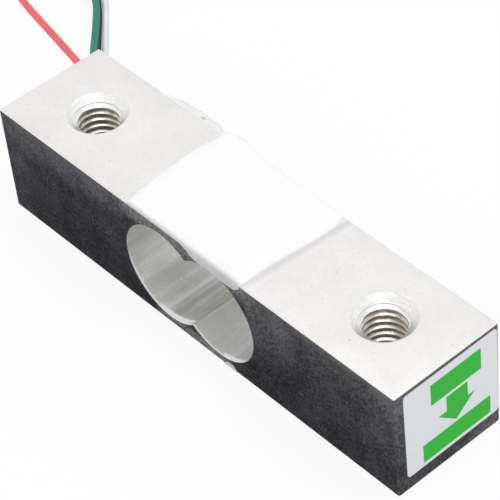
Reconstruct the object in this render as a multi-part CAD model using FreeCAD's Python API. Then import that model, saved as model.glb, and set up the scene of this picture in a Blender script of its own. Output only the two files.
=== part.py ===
import FreeCAD, Part
import math
import os

os.makedirs("parts", exist_ok=True)

# A bar load cell for weighing: an aluminium bar with a double bore, strain gauges over the thin webs,
# silicone over the gauges and the solder joints, and four leads. Millimetres. X runs along the bar to
# the loaded end, Z is up, and Z = 0 is the surface that the coat under the bar stands on.

# Bar
BEAM_LENGTH = 55.25
BEAM_WIDTH = 12.7
BEAM_HEIGHT = 12.7
EDGE_BREAK = 0.2

# Double bore through the width: its two circles leave the thin webs, over and under them, that bend
WEB = 0.85
BORE_OFFSET = 3.5

# Tapped holes through the height: the bore is that of the thread's crests
SCREW_SPACING = 40.0
THREAD_RADIUS = 2.1
COUNTERSINK_RADIUS = 3.1
COUNTERSINK_ANGLE = 90.0

# Strain gauges: a film with an etched foil grid and two tabs
FILM_LENGTH = 5.7
FILM_WIDTH = 3.6
FILM_MARGIN = 0.15
FILM_THICKNESS = 0.05
FOIL_THICKNESS = 0.03
STRAND_COUNT = 8
STRAND_WIDTH = 0.16
STRAND_PITCH = 0.32
GRID_LENGTH = 3.0
END_LOOP = 0.3
FEEDER_LENGTH = 0.35
TAB_LENGTH = 1.1
TAB_WIDTH = 0.95
TAB_OVERHANG = 0.15

# Solder: a low lump on each tab of a gauge, and one over each lead's end on its pad
TAB_SOLDER_SIDE = 0.8
TAB_SOLDER_HEIGHT = 0.24
TAB_SOLDER_SLOPE = 0.16
PAD_SOLDER_LENGTH = 1.2
PAD_SOLDER_HEIGHT = 0.62
PAD_SOLDER_DEPTH = 0.58
PAD_SOLDER_SLOPE = 0.2

# Terminal strip on the back face, with a row of copper pads
STRIP_LENGTH = 2.4
STRIP_HEIGHT = 3.9
STRIP_THICKNESS = 0.1
STRIP_LEFT_FROM_BORE = 5.3
PAD_LENGTH = 1.7
PAD_HEIGHT = 0.6
PAD_THICKNESS = 0.05
PAD_PITCH = 0.86
PAD_COUNT = 4

# Enamelled wires between the tabs and the pads, drawn square so that the silicone round them stays light
WIRE_SIDE = 0.14
WIRE_STANDOFF = 0.17
WIRE_BACK_STANDOFF = 0.25
WIRE_PITCH = 0.2
WIRE_LAYER = 0.18
WIRE_FIRST_DEPTH = 0.35
WIRE_BAND_PITCH = 0.18
WIRE_INTO_SOLDER = 0.35
WIRE_LANE = 0.7
WIRE_OFF_FILM = 0.8
WIRE_OFF_TAB = 0.4
WIRE_LANES_APART = 0.6

# Pads that the lower gauges' wires go to, so that the four gauges make a bridge, and the layer that each of
# these wires lies in where it crosses those of the top gauges
LOW_WIRE_PADS = (0, 2, 1, 3)
LOW_WIRE_LAYERS = (1, 1, 2, 1)

# Silicone
COAT_LENGTH = 17.2
COAT_CENTRE = -0.3
TOP_COAT = 0.6
BOTTOM_COAT = 0.45
COAT_SHOULDER = 1.6
COAT_SHOULDER_SHARE = 0.8
COAT_BULGE_SHARE = 0.5
COAT_BULGE_PLACE = 1 / 3
COAT_SIDE_DROP = 0.35
COAT_SUNK = 0.3
COAT_OVER_EDGE = 0.4
FRONT_FILM_THICKNESS = 0.1
FRONT_FILM_DROP = 0.8
FRONT_FILM_START = 0.2
TONGUE_THICKNESS = 0.8
TONGUE_DROP = 1.3
TONGUE_END = -4.0
TONGUE_ROUND = 0.4
TONGUE_RISE = 0.2
BOTTOM_FLAT = 0.12
BEAD_LENGTH = 6.5
BEAD_THICKNESS = 0.98
BEAD_MARGIN = 0.1
BEAD_END_SLOPE = 0.49

# End label
LABEL_WIDTH = 11.4
LABEL_HEIGHT = 10.5
LABEL_THICKNESS = 0.1
LABEL_SHIFT = 0.4
LABEL_RISE = 0.65
LABEL_TURN = 0.5
LABEL_CORNER = 0.4

# Leads, and the coil that they are put away in
LEAD_LENGTH = 200.0
LEAD_RADIUS = 0.4
LEAD_SIDES = 10
EXIT_RUN = 5.0
CORE_RADIUS = 0.2
CORE_LENGTH = 1.4
TIP_RADIUS = 0.25
TIP_LENGTH = 5.0
FIT_GAP = 0.02
COIL_CENTRE = (-55.2, 32.5)
COIL_INNER_RADIUS = 8.6
COIL_RING_PITCH = 0.85
COIL_LAYER = 0.8
COIL_ENTRY_RUN = 4.0
COIL_ENTRY_ANGLE = -104.0
COIL_PASS_UNDER = 46.0
ARC_SHARE = 0.45

# Each lead: its pad, its ring in the coil, the angle where it joins the coil, and the points of its way.
# Red leaves the others on the surface, and black comes to lie in the groove between green and white.
LEADS = {
    "lead_red": {"pad": 3, "ring": 3, "entry": 180.0, "points": [
        (-26.2, 7.15, 3.9), (-32.9, 9.1, 1.2), (-38.6, 11.61, 0.4), (-46.6, 13.15, 0.4), (-54.6, 14.65, 0.4),
        (-60.9, 16.9, 0.4), (-65.2, 21.8, 0.4)]},
    "lead_green": {"pad": 2, "ring": 2, "entry": COIL_ENTRY_ANGLE, "points": [
        (-26.2, 7.6, 5.1), (-32.7, 9.3, 2.6), (-39.1, 12.85, 0.4), (-43.1, 16.33, 0.4), (-47.03, 19.89, 0.4),
        (-49.35, 20.36, 0.4), (-51.2, 20.84, 0.4)]},
    "lead_white": {"pad": 1, "ring": 0, "entry": COIL_ENTRY_ANGLE, "points": [
        (-26.1, 8.05, 5.9), (-32.3, 10.3, 3.1), (-37.78, 13.54, 0.4), (-42.2, 17.15, 0.4),
        (-46.5, 20.65, 0.4), (-48.88, 21.82, 0.4), (-50.6, 22.56, 0.4)]},
    "lead_black": {"pad": 0, "ring": 1, "entry": COIL_ENTRY_ANGLE, "points": [
        (-26.15, 7.85, 6.75), (-32.55, 9.75, 3.85), (-38.5, 13.15, 1.08), (-42.65, 16.74, 1.03),
        (-46.75, 20.3, 1.07), (-49.08, 21.08, 0.79), (-50.7, 21.6, 0.4)]},
}

BORE_RADIUS = BEAM_HEIGHT / 2 - WEB
BEAM_BOTTOM = BOTTOM_COAT
BEAM_TOP = BEAM_BOTTOM + BEAM_HEIGHT
BEAM_MIDDLE = BEAM_BOTTOM + BEAM_HEIGHT / 2
BACK = BEAM_WIDTH / 2
FRONT = -BEAM_WIDTH / 2
STRIP_LEFT = -BORE_OFFSET - BORE_RADIUS - STRIP_LEFT_FROM_BORE
PAD_CENTRE = STRIP_LEFT + STRIP_LENGTH / 2
COAT_LEFT = COAT_CENTRE - COAT_LENGTH / 2
COAT_RIGHT = COAT_CENTRE + COAT_LENGTH / 2
GRID_WIDTH = STRAND_PITCH * (STRAND_COUNT - 1) + STRAND_WIDTH
TAB_START = GRID_LENGTH / 2 + FEEDER_LENGTH
TAB_Y = GRID_WIDTH / 2 + TAB_OVERHANG - TAB_WIDTH / 2
SOLDER_X = TAB_START + TAB_LENGTH / 2
LEAD_Y = BACK + LEAD_RADIUS + FIT_GAP
LEAD_START = STRIP_LEFT - FIT_GAP


def vec(x, y, z):
    return FreeCAD.Vector(x, y, z)


def block(x0, x1, y0, y1, z0, z1):
    return Part.makeBox(x1 - x0, y1 - y0, z1 - z0, vec(x0, y0, z0))


def rod(start, end, radius):
    axis = end - start
    return Part.makeCylinder(radius, axis.Length, start, axis)


def prism(start, end, radius, sides=LEAD_SIDES):
    """A thin round thing with few sides."""
    axis = end - start
    face = Part.Face(sided_ring(start, axis, radius, sides))
    return face.extrude(axis)


def sided_ring(centre, axis, radius, sides):
    """A closed wire of equal sides round an axis."""
    ahead = vec(axis.x, axis.y, axis.z).normalize()
    level = ahead.cross(vec(0, 0, 1))
    across = level.normalize() if level.Length > 0.01 else vec(1, 0, 0)
    up = across.cross(ahead)
    corners = []
    for k in range(sides):
        angle = 2 * math.pi * (k + 0.5) / sides
        corners.append(centre + across * (radius * math.sin(angle)) + up * (radius * math.cos(angle)))
    return Part.makePolygon(corners + corners[:1])


def fuse_all(shapes):
    return shapes[0].multiFuse(shapes[1:]).removeSplitter()


def mirrored_down(shape):
    return shape.mirror(vec(0, 0, BEAM_MIDDLE), vec(0, 0, 1))


def load_beam():
    beam = block(-BEAM_LENGTH / 2, BEAM_LENGTH / 2, FRONT, BACK, BEAM_BOTTOM, BEAM_TOP)
    beam = beam.makeChamfer(EDGE_BREAK, beam.Edges)
    for side in (-1, 1):
        x = side * BORE_OFFSET
        bore = rod(vec(x, FRONT - 1, BEAM_MIDDLE), vec(x, BACK + 1, BEAM_MIDDLE), BORE_RADIUS)
        beam = beam.cut(bore).cut(screw_hole(side * SCREW_SPACING / 2))
    return beam


def countersink_depth():
    return (COUNTERSINK_RADIUS - THREAD_RADIUS) / math.tan(math.radians(COUNTERSINK_ANGLE / 2))


def screw_hole(x):
    depth = countersink_depth()
    hole = rod(vec(x, 0, BEAM_BOTTOM - 1), vec(x, 0, BEAM_TOP + 1), THREAD_RADIUS)
    mouth = Part.makeCone(THREAD_RADIUS, COUNTERSINK_RADIUS, depth, vec(x, 0, BEAM_TOP - depth))
    foot = Part.makeCone(COUNTERSINK_RADIUS, THREAD_RADIUS, depth, vec(x, 0, BEAM_BOTTOM))
    return hole.fuse(mouth).fuse(foot)


def gauge_film(side):
    """The film of a top gauge: its grid lies over the web and its tabs point away from the middle."""
    inner = -GRID_LENGTH / 2 - END_LOOP - FILM_MARGIN
    film = block(inner, inner + FILM_LENGTH, -FILM_WIDTH / 2, FILM_WIDTH / 2, 0, FILM_THICKNESS)
    return placed_gauge(film, side)


def gauge_foil(side):
    z0 = FILM_THICKNESS
    z1 = z0 + FOIL_THICKNESS
    bars = []
    first = -GRID_WIDTH / 2
    half = GRID_LENGTH / 2
    for k in range(STRAND_COUNT):
        low = first + k * STRAND_PITCH
        bars.append(block(-half, half, low, low + STRAND_WIDTH, z0, z1))
    for k in range(STRAND_COUNT - 1):
        low = first + k * STRAND_PITCH
        high = low + STRAND_PITCH + STRAND_WIDTH
        if k % 2 == 0:
            bars.append(block(-half - END_LOOP, -half, low, high, z0, z1))
        else:
            bars.append(block(half, half + END_LOOP, low, high, z0, z1))
    for y in (-1, 1):
        low = first if y < 0 else -first - STRAND_WIDTH
        bars.append(block(half, TAB_START, low, low + STRAND_WIDTH, z0, z1))
        bars.append(block(TAB_START, TAB_START + TAB_LENGTH, y * TAB_Y - TAB_WIDTH / 2,
                          y * TAB_Y + TAB_WIDTH / 2, z0, z1))
    return placed_gauge(fuse_all(bars), side)


def placed_gauge(shape, side):
    if side < 0:
        shape = shape.mirror(vec(0, 0, 0), vec(1, 0, 0))
    return shape.translated(vec(side * BORE_OFFSET, 0, BEAM_TOP))


def tab_solder(side, y):
    base = BEAM_TOP + FILM_THICKNESS + FOIL_THICKNESS
    x = side * (BORE_OFFSET + SOLDER_X)
    half = TAB_SOLDER_SIDE / 2
    lump = block(x - half, x + half, y * TAB_Y - half, y * TAB_Y + half, base, base + TAB_SOLDER_HEIGHT)
    rim = [e for e in lump.Edges if min(v.Point.z for v in e.Vertexes) > base + TAB_SOLDER_HEIGHT / 2]
    return lump.makeChamfer(TAB_SOLDER_SLOPE, rim)


def pad_z(number):
    """Pads are numbered from the top one, 0, to the lowest one, 3."""
    return BEAM_MIDDLE + ((PAD_COUNT - 1) / 2 - number) * PAD_PITCH


def terminal_strip():
    return block(STRIP_LEFT, STRIP_LEFT + STRIP_LENGTH, BACK, BACK + STRIP_THICKNESS,
                 BEAM_MIDDLE - STRIP_HEIGHT / 2, BEAM_MIDDLE + STRIP_HEIGHT / 2)


def terminal_pad(number):
    y0 = BACK + STRIP_THICKNESS
    return block(PAD_CENTRE - PAD_LENGTH / 2, PAD_CENTRE + PAD_LENGTH / 2, y0, y0 + PAD_THICKNESS,
                 pad_z(number) - PAD_HEIGHT / 2, pad_z(number) + PAD_HEIGHT / 2)


def pad_solder(number):
    half = PAD_SOLDER_LENGTH / 2
    z = pad_z(number)
    foot = BACK + STRIP_THICKNESS + PAD_THICKNESS
    lump = block(PAD_CENTRE - half, PAD_CENTRE + half, foot, foot + PAD_SOLDER_DEPTH,
                 z - PAD_SOLDER_HEIGHT / 2, z + PAD_SOLDER_HEIGHT / 2)
    rim = [e for e in lump.Edges if min(v.Point.y for v in e.Vertexes) > foot + PAD_SOLDER_DEPTH / 2]
    return lump.makeChamfer(PAD_SOLDER_SLOPE, rim)


def lead_core(number):
    start = vec(LEAD_START, LEAD_Y, pad_z(number))
    return prism(start, start + vec(CORE_LENGTH, 0, 0), CORE_RADIUS)


def mitred_wire(points):
    """A thin wire as square rods that meet in mitred corners."""
    ring = sided_ring(points[0], points[1] - points[0], WIRE_SIDE / math.sqrt(2), 4)
    return Part.Wire(Part.makePolygon(points)).makePipeShell([ring], True, False, 1)


def top_wire(side, y, edge_x, depth, turn_x, number, standoff):
    """An enamelled wire of a top gauge: from a tab over the back edge, along the rim and down to a pad."""
    z = BEAM_TOP + WIRE_STANDOFF
    back = BACK + standoff
    tab = vec(side * (BORE_OFFSET + SOLDER_X), y * TAB_Y, z)
    route = [tab] + [vec(px, py, z) for px, py in top_detour(side, y, edge_x)]
    route += [
        vec(edge_x, back, z),
        vec(edge_x, back, BEAM_TOP - depth),
        vec(turn_x, back, BEAM_TOP - depth),
        vec(turn_x, back, pad_z(number)),
        vec(solder_right_x(), back, pad_z(number)),
    ]
    return mitred_wire(route)


def solder_right_x():
    return PAD_CENTRE + PAD_SOLDER_LENGTH / 2 - WIRE_INTO_SOLDER


def top_detour(side, y, edge_x):
    """Where a wire turns on the way from its tab to the back edge, as X and Y."""
    tab_x = side * (BORE_OFFSET + SOLDER_X)
    if side < 0 and y > 0:
        return []
    if side < 0:
        return [(edge_x, y * TAB_Y)]
    lane = FILM_WIDTH / 2 + WIRE_OFF_FILM
    if y > 0:
        return [(tab_x, lane), (edge_x, lane)]
    outer = tab_x + TAB_LENGTH / 2 + WIRE_OFF_TAB
    outer_lane = lane + WIRE_LANES_APART
    return [(outer, y * TAB_Y), (outer, outer_lane), (edge_x, outer_lane)]


def enamelled_wires():
    """The four wires of the top gauges and the four of the lower ones, which cross the first on the strip."""
    tab_x = BORE_OFFSET + SOLDER_X
    edges = [-tab_x - TAB_LENGTH / 2 - WIRE_OFF_TAB, -tab_x, -tab_x + WIRE_LANE, -tab_x + 2 * WIRE_LANE]
    gauges = [(-1, -1), (-1, 1), (1, 1), (1, -1)]
    strip_right = STRIP_LEFT + STRIP_LENGTH
    top = []
    low = []
    for k in range(PAD_COUNT):
        side, y = gauges[k]
        depth = WIRE_FIRST_DEPTH + k * WIRE_BAND_PITCH
        turn = strip_right + (k + 0.5) * WIRE_PITCH
        top.append(top_wire(side, y, edges[k], depth, turn, k, WIRE_BACK_STANDOFF))
        standoff = WIRE_BACK_STANDOFF + WIRE_LAYER * LOW_WIRE_LAYERS[k]
        turn += (len(gauges) + 0.5) * WIRE_PITCH
        low.append(top_wire(side, y, edges[k], depth, turn, LOW_WIRE_PADS[k], standoff))
    return top, [mirrored_down(wire) for wire in low]


def pillow(x0, x1, thickness):
    """Silicone brushed over a face: crowned both ways and thin at its ends. Its underside is sunk."""
    sunk = -COAT_SUNK
    middle = (x0 + x1) / 2
    shoulder = COAT_SHOULDER_SHARE * thickness
    bulge = COAT_BULGE_SHARE * thickness
    bulge_run = COAT_SHOULDER * COAT_BULGE_PLACE
    ends = [vec(x0, 0, 0), vec(x0 + COAT_SHOULDER, 0, shoulder),
            vec(x1 - COAT_SHOULDER, 0, shoulder), vec(x1, 0, 0)]
    tops = [vec(x0 + bulge_run, 0, bulge), vec(middle, 0, thickness), vec(x1 - bulge_run, 0, bulge)]
    edges = [Part.Arc(ends[k], tops[k], ends[k + 1]).toShape() for k in range(3)]
    foot = [vec(x1, 0, sunk), vec(x0, 0, sunk)]
    edges += Part.makePolygon([ends[3], foot[0], foot[1], ends[0]]).Edges
    along = Part.Face(Part.Wire(edges)).extrude(vec(0, BEAM_WIDTH + 2, 0)).translated(vec(0, FRONT - 1, 0))
    side = thickness - COAT_SIDE_DROP * thickness
    arc = Part.Arc(vec(0, FRONT, side), vec(0, 0, thickness), vec(0, BACK, side)).toShape()
    rest = Part.makePolygon([vec(0, BACK, side), vec(0, BACK, sunk), vec(0, FRONT, sunk),
                             vec(0, FRONT, side)])
    across = Part.Face(Part.Wire([arc] + rest.Edges)).extrude(vec(x1 - x0 + 2, 0, 0))
    return along.common(across.translated(vec(x0 - 1, 0, 0)))


def tongue():
    """Where the coat runs over the back edge, round the wires."""
    slab = block(COAT_LEFT, TONGUE_END, BACK - COAT_OVER_EDGE, BACK + TONGUE_THICKNESS,
                 BEAM_TOP - TONGUE_DROP, BEAM_TOP + TONGUE_RISE)
    outer = [e for e in slab.Edges if min(v.Point.y for v in e.Vertexes) > BACK + TONGUE_THICKNESS / 2]
    return slab.makeFillet(TONGUE_ROUND, outer)


def top_coat_blank():
    coat = pillow(COAT_LEFT, COAT_RIGHT, TOP_COAT).translated(vec(0, 0, BEAM_TOP))
    film = block(FRONT_FILM_START, COAT_RIGHT - COAT_SHOULDER * COAT_BULGE_PLACE,
                 FRONT - FRONT_FILM_THICKNESS, FRONT + COAT_OVER_EDGE,
                 BEAM_TOP - FRONT_FILM_DROP, BEAM_TOP + TONGUE_RISE)
    return fuse_all([coat, film, tongue()])


def bottom_coat_blank():
    crown = BOTTOM_COAT + BOTTOM_FLAT
    coat = pillow(COAT_LEFT, COAT_RIGHT, crown).translated(vec(0, 0, BEAM_TOP))
    coat = mirrored_down(fuse_all([coat, tongue()]))
    below = block(COAT_LEFT - 1, COAT_RIGHT + 1, FRONT - 1, BACK + 2, -1, 0)
    return coat.cut(below)


def bead_blank():
    """The silicone bead down the back face, over the strip, the wires and the ends of the leads."""
    x0 = COAT_LEFT - BEAD_LENGTH
    crest = vec((x0 + COAT_LEFT) / 2, BACK + BEAD_THICKNESS, 0)
    arc = Part.Arc(vec(x0, BACK, 0), crest, vec(COAT_LEFT, BACK, 0))
    foot = Part.LineSegment(vec(COAT_LEFT, BACK, 0), vec(x0, BACK, 0))
    low = BEAM_BOTTOM + BEAD_MARGIN
    high = BEAM_TOP - BEAD_MARGIN
    bead = Part.Face(Part.Wire([arc.toShape(), foot.toShape()])).extrude(vec(0, 0, high - low))
    bead = bead.translated(vec(0, 0, low))
    slope = BEAD_END_SLOPE
    y = BACK + BEAD_THICKNESS
    outline = Part.makePolygon([
        vec(x0 - 1, BACK, low), vec(x0 - 1, y - slope, low), vec(x0 - 1, y + 0.01, low + slope),
        vec(x0 - 1, y + 0.01, high - slope), vec(x0 - 1, y - slope, high), vec(x0 - 1, BACK, high),
        vec(x0 - 1, BACK, low),
    ])
    return bead.common(Part.Face(outline).extrude(vec(BEAD_LENGTH + 2, 0, 0)))


def end_label():
    x = BEAM_LENGTH / 2
    low = BEAM_BOTTOM + LABEL_RISE + (BEAM_HEIGHT - LABEL_HEIGHT) / 2
    label = block(x, x + LABEL_THICKNESS, LABEL_SHIFT - LABEL_WIDTH / 2, LABEL_SHIFT + LABEL_WIDTH / 2,
                  low, low + LABEL_HEIGHT)
    corners = [e for e in label.Edges if abs(e.tangentAt(e.FirstParameter).x) > 0.9]
    label = label.makeFillet(LABEL_CORNER, corners)
    return label.rotated(vec(x, LABEL_SHIFT, low + LABEL_HEIGHT / 2), vec(1, 0, 0), LABEL_TURN)


def ring_radius(ring):
    return COIL_INNER_RADIUS + ring * COIL_RING_PITCH


def coil_point(ring, degrees, z):
    angle = math.radians(degrees)
    radius = ring_radius(ring)
    return vec(COIL_CENTRE[0] + radius * math.cos(angle), COIL_CENTRE[1] + radius * math.sin(angle), z)


def clockwise(degrees):
    """The way a lead runs where its coil passes this angle, seen from above."""
    angle = math.radians(degrees)
    return vec(math.sin(angle), -math.cos(angle), 0)


def sector(ring, layer, start, sweep):
    """One layer of a ring of the coil, clockwise from the start."""
    radius = ring_radius(ring)
    z = layer * COIL_LAYER
    half = COIL_LAYER / 2
    corners = [vec(radius - half, 0, z), vec(radius + half, 0, z), vec(radius + half, 0, z + COIL_LAYER),
               vec(radius - half, 0, z + COIL_LAYER), vec(radius - half, 0, z)]
    face = Part.Face(Part.makePolygon(corners))
    solid = face.revolve(vec(0, 0, 0), vec(0, 0, 1), -min(sweep, 360))
    solid.rotate(vec(0, 0, 0), vec(0, 0, 1), start)
    return solid.translated(vec(COIL_CENTRE[0], COIL_CENTRE[1], 0))


def lead_route(name):
    lead = LEADS[name]
    z = pad_z(lead["pad"])
    end = coil_point(lead["ring"], lead["entry"], LEAD_RADIUS)
    before = end - clockwise(lead["entry"]) * COIL_ENTRY_RUN
    start = vec(LEAD_START, LEAD_Y, z)
    return [start, start - vec(EXIT_RUN, 0, 0)] + [vec(*p) for p in lead["points"]] + [before, end]


def lead_path(route):
    """Straight runs joined by tangent arcs, with the arcs' radii."""
    edges = []
    radii = []
    last = route[0]
    for before, corner, after in zip(route, route[1:], route[2:]):
        into = corner - before
        out = after - corner
        turn = into.getAngle(out)
        tangent = ARC_SHARE * min(into.Length, out.Length)
        radius = tangent / math.tan(turn / 2)
        radii.append(radius)
        into.normalize()
        out.normalize()
        p0 = corner - into * tangent
        p2 = corner + out * tangent
        inward = out - into
        inward.normalize()
        middle = corner + inward * (radius / math.cos(turn / 2) - radius)
        edges.append(Part.LineSegment(last, p0).toShape())
        edges.append(Part.Arc(p0, middle, p2).toShape())
        last = p2
    edges.append(Part.LineSegment(last, route[-1]).toShape())
    return Part.Wire(edges), radii


def lead_tube(name):
    route = lead_route(name)
    path, radii = lead_path(route)
    ring = Part.Face(sided_ring(route[0], route[1] - route[0], LEAD_RADIUS, LEAD_SIDES))
    tube = path.makePipe(ring)
    section = ring.Area
    print(name, "length", round(path.Length, 2), "volume over section times length",
          round(tube.Volume / (section * path.Length), 4), "arc radii", [round(r, 1) for r in radii])
    return tube, path.Length


def lead_coil(name, length):
    """The ring that one lead fills, layer by layer, with its end face where the bare tip starts."""
    ring = LEADS[name]["ring"]
    entry = LEADS[name]["entry"]
    step = COIL_ENTRY_ANGLE + COIL_PASS_UNDER
    sweep = math.degrees(length / ring_radius(ring))
    first = (entry - step) % 360
    layers = [sector(ring, 0, entry, first)]
    sweep -= first
    layer = 1
    while sweep > 360:
        layers.append(sector(ring, layer, step, 360))
        sweep -= 360
        layer += 1
    layers.append(sector(ring, layer, step, sweep))
    print(name, "coil ends at", round(step - sweep, 1), "in layer", layer)
    return fuse_all(layers), step - sweep, (layer + 0.5) * COIL_LAYER


def lead_tip(name, degrees, z):
    start = coil_point(LEADS[name]["ring"], degrees, z)
    return prism(start, start + clockwise(degrees) * TIP_LENGTH, TIP_RADIUS)


def export(shape, name):
    if not shape.isValid():
        print(name, "is not valid")
    shape.exportStep("parts/" + name + ".step")


def silicone(blank, pieces):
    for piece in pieces:
        blank = blank.cut(piece)
    return blank.removeSplitter()


def main():
    beam = load_beam()
    export(beam, "load_beam")

    films = {}
    foils = {}
    for side, end in ((-1, "fixed"), (1, "loaded")):
        films["gauge_film_top_" + end] = gauge_film(side)
        foils["gauge_foil_top_" + end] = gauge_foil(side)
        films["gauge_film_bottom_" + end] = mirrored_down(gauge_film(side))
        foils["gauge_foil_bottom_" + end] = mirrored_down(gauge_foil(side))
    for name, shape in list(films.items()) + list(foils.items()):
        export(shape, name)

    top_wires, low_wires = enamelled_wires()
    tubes = {}
    for name in LEADS:
        tubes[name], length = lead_tube(name)
        coil, end, z = lead_coil(name, LEAD_LENGTH - length - TIP_LENGTH)
        export(tubes[name], name)
        export(coil, name + "_coil")
        export(lead_tip(name, end, z), name + "_tip")

    strip = terminal_strip()
    pads = Part.Compound([terminal_pad(k) for k in range(PAD_COUNT)])
    cores = Part.Compound([lead_core(k) for k in range(PAD_COUNT)])
    wires_top = Part.Compound(top_wires)
    wires_bottom = Part.Compound(low_wires)
    spots = [(side, y) for side in (-1, 1) for y in (-1, 1)]
    domes_top = Part.Compound([tab_solder(side, y).cut(wires_top) for side, y in spots])
    domes_low = Part.Compound([mirrored_down(tab_solder(side, y)).cut(wires_bottom) for side, y in spots])
    held = [cores, wires_top, wires_bottom]
    beads = Part.Compound([silicone(pad_solder(k), held) for k in range(PAD_COUNT)])
    export(strip, "terminal_strip")
    export(pads, "terminal_pads")
    export(cores, "lead_cores")
    export(wires_top, "enamel_wires_top")
    export(wires_bottom, "enamel_wires_bottom")
    export(domes_top, "tab_solder_top")
    export(domes_low, "tab_solder_bottom")
    export(beads, "pad_solder")

    inner = [beam, strip, pads, cores, wires_top, wires_bottom, domes_top, domes_low, beads]
    inner += list(films.values()) + list(foils.values()) + list(tubes.values())
    top_coat = silicone(top_coat_blank(), inner)
    bottom_coat = silicone(bottom_coat_blank(), inner)
    export(top_coat, "top_silicone")
    export(bottom_coat, "bottom_silicone")
    export(silicone(bead_blank(), inner + [top_coat, bottom_coat]), "lead_silicone")
    export(end_label(), "end_label")


main()
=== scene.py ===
import math

import bpy
from mathutils import Matrix, Vector


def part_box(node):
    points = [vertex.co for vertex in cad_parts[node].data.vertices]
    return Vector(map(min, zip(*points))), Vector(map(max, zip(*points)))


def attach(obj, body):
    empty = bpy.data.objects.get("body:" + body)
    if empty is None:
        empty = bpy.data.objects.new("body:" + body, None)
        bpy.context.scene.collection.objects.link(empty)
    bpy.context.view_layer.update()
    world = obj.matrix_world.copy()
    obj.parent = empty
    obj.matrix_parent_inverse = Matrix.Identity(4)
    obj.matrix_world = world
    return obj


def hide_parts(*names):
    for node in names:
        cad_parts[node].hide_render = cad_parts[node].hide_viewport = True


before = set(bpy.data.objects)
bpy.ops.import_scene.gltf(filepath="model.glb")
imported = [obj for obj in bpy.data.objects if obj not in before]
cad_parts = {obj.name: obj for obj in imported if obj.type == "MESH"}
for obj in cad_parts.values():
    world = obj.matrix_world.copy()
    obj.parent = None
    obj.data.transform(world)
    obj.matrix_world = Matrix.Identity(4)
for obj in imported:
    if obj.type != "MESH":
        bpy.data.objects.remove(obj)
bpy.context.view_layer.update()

# The picture: a long lens, high over the labelled end, with the leads running off at the top. The camera is
# rolled a little. Pale floor, white surroundings, and one large soft lamp over the bar.
camera_place = (0.129518, -0.097249, 0.163659)
camera_azimuth = math.radians(52.724)
camera_tilt = math.radians(90 - 43.906)
camera_roll = math.radians(-6.4965)
room_light = 0.75
floor_size = 6.0
floor_drop = 0.00005
floor_glow = 1.02
floor_glow_share = 0.82
white = (1, 1, 1, 1)

scene = bpy.context.scene
scene.view_settings.view_transform = "Standard"

camera_data = bpy.data.cameras.new("camera")
camera_data.sensor_width = 36.0
camera_data.lens = 172.48
camera_data.clip_start = 0.01
camera = bpy.data.objects.new("camera", camera_data)
scene.collection.objects.link(camera)
camera.matrix_world = (
    Matrix.Translation(camera_place)
    @ Matrix.Rotation(camera_azimuth, 4, "Z")
    @ Matrix.Rotation(camera_tilt, 4, "X")
    @ Matrix.Rotation(camera_roll, 4, "Z")
)
scene.camera = camera


def new_material(name):
    """A material with an empty node tree."""
    material = bpy.data.materials.new(name)
    material.use_nodes = True
    tree = material.node_tree
    tree.nodes.clear()
    return material, tree


def node(tree, kind, settings=None, **inputs):
    """Adds a node. An input is a value, or another node's output that is linked to it."""
    made = tree.nodes.new(kind)
    for key, value in (settings or {}).items():
        setattr(made, key, value)
    for key, value in inputs.items():
        socket = made.inputs[int(key[1:])] if key[1:].isdigit() else made.inputs[key.replace("_", " ")]
        if isinstance(value, bpy.types.NodeSocket):
            tree.links.new(value, socket)
        else:
            socket.default_value = value
    return made


def calc(tree, operation, *values):
    """One step of arithmetic with values or nodes' outputs."""
    inputs = {f"_{k}": value for k, value in enumerate(values)}
    return node(tree, "ShaderNodeMath", {"operation": operation}, **inputs).outputs[0]


def seen_or_mirrored(tree):
    """1 where a ray comes from the camera, a mirror-like surface or clear material, 0 in diffuse light."""
    rays = node(tree, "ShaderNodeLightPath").outputs
    seen = calc(tree, "MAXIMUM", rays["Is Camera Ray"], rays["Is Glossy Ray"])
    return calc(tree, "MAXIMUM", seen, rays["Is Transmission Ray"])


world = bpy.data.worlds.new("white_room")
scene.world = world
world.use_nodes = True
tree = world.node_tree
tree.nodes.clear()
room_level = node(tree, "ShaderNodeMapRange", _0=seen_or_mirrored(tree), _3=room_light, _4=1.0)
room = node(tree, "ShaderNodeBackground", Color=white, Strength=room_level.outputs[0])
node(tree, "ShaderNodeOutputWorld", Surface=room.outputs[0])

bpy.ops.object.select_all(action="DESELECT")
bpy.ops.mesh.primitive_plane_add(size=floor_size, location=(0, 0, -floor_drop))
floor = bpy.context.object
floor.name = "floor"
floor_white, tree = new_material("floor_white")
paper = node(tree, "ShaderNodeBsdfDiffuse", Color=(0.9, 0.9, 0.9, 1))
glow = node(tree, "ShaderNodeEmission", Color=white, Strength=floor_glow)
share = calc(tree, "MULTIPLY", seen_or_mirrored(tree), floor_glow_share)
both = node(tree, "ShaderNodeMixShader", _0=share, _1=paper.outputs[0], _2=glow.outputs[0])
node(tree, "ShaderNodeOutputMaterial", Surface=both.outputs[0])
floor.data.materials.append(floor_white)

lamp_data = bpy.data.lights.new("soft_lamp", "AREA")
lamp_data.shape = "DISK"
lamp_data.size = 0.45
lamp_data.energy = 1.35
lamp = bpy.data.objects.new("soft_lamp", lamp_data)
scene.collection.objects.link(lamp)
lamp.location = (0.16, -0.04, 0.62)
lamp.rotation_euler = (-lamp.location).to_track_quat("-Z", "Y").to_euler()

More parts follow.
